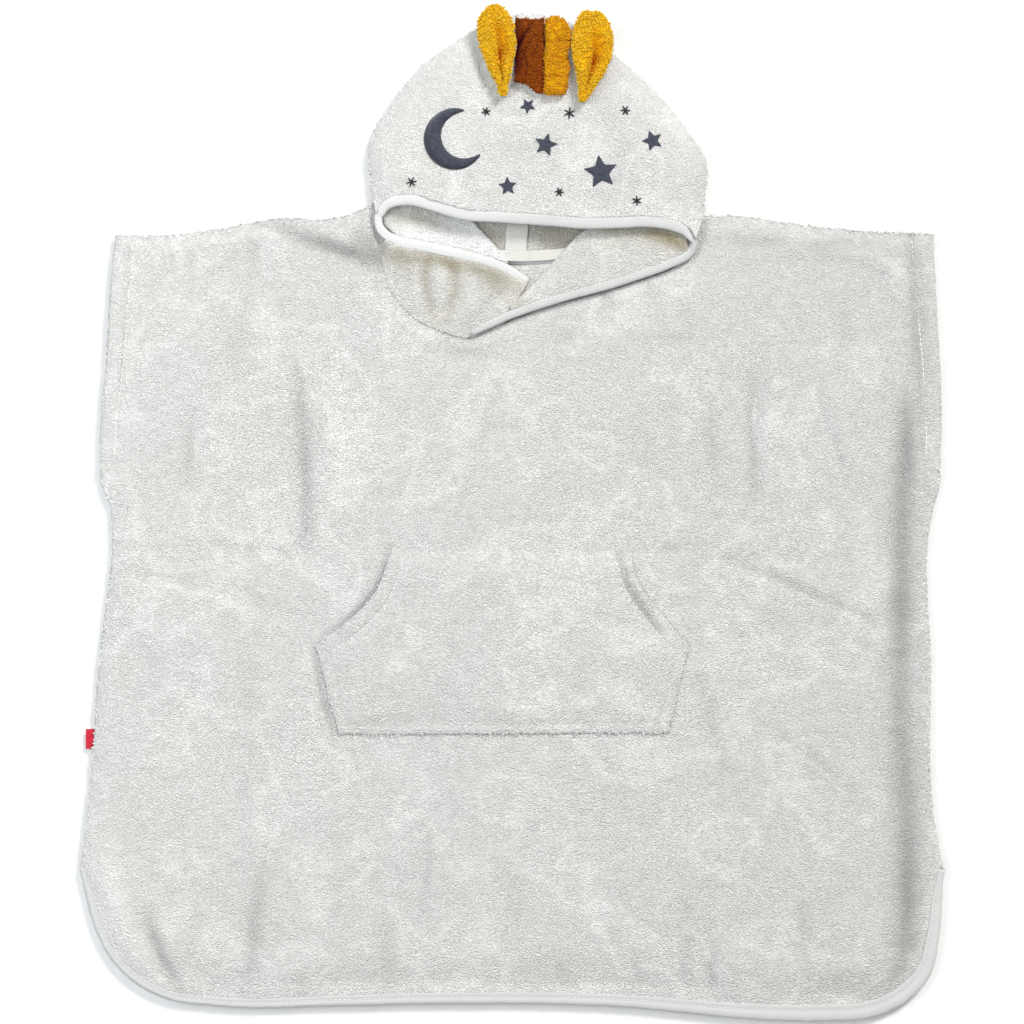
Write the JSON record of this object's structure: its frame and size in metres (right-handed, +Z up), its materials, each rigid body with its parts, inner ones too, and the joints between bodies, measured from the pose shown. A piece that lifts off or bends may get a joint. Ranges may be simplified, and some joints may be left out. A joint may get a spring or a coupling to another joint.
{
  "type": "hooded bath poncho",
  "caption": "Toddler's terry bath poncho laid flat: hood with ears up, bound curved hem with side vents, pouch pocket on the front.",
  "frame": {"origin": "on the surface the poncho lies on, under the middle of its outline", "axes": "+Z up out of the surface, the front faces up; +Y from the hem towards the hood; +X to the right as the front is looked at"},
  "size_m": [0.6038, 0.7133, 0.0266],
  "materials": {
    "terry_white": "off-white looped terry",
    "binding_white": "soft white jersey tape",
    "mustard": "mustard-yellow looped terry",
    "brown": "red-brown looped terry",
    "slate": "slate-grey sewn-on cloth with a dense thread edge",
    "tape": "white woven tape",
    "label_red": "red woven ribbon, bare"
  },
  "bodies": {
    "root": {"back_panel": "terry_white", "front_panel": "terry_white", "pocket": "terry_white", "back_hem_binding": "binding_white", "front_hem_binding": "binding_white", "side_label": "label_red", "hood_back_left": "terry_white", "hood_back_right": "terry_white", "hood_seam_tape": "tape", "hood_pleat_left": "terry_white", "hood_pleat_right": "terry_white", "hood_flap_left": "terry_white", "hood_flap_right": "terry_white", "hood_crown": "terry_white", "hood_binding": "binding_white", "ear_left_back": "terry_white", "ear_left_front": "mustard", "ear_right_back": "terry_white", "ear_right_front": "mustard", "crest_brown": "brown", "crest_yellow": "mustard", "motif_moon": "slate", "motif_star_1": "slate", "motif_star_2": "slate", "motif_star_3": "slate", "motif_star_4": "slate", "motif_star_5": "slate"}
  },
  "joints": []
}
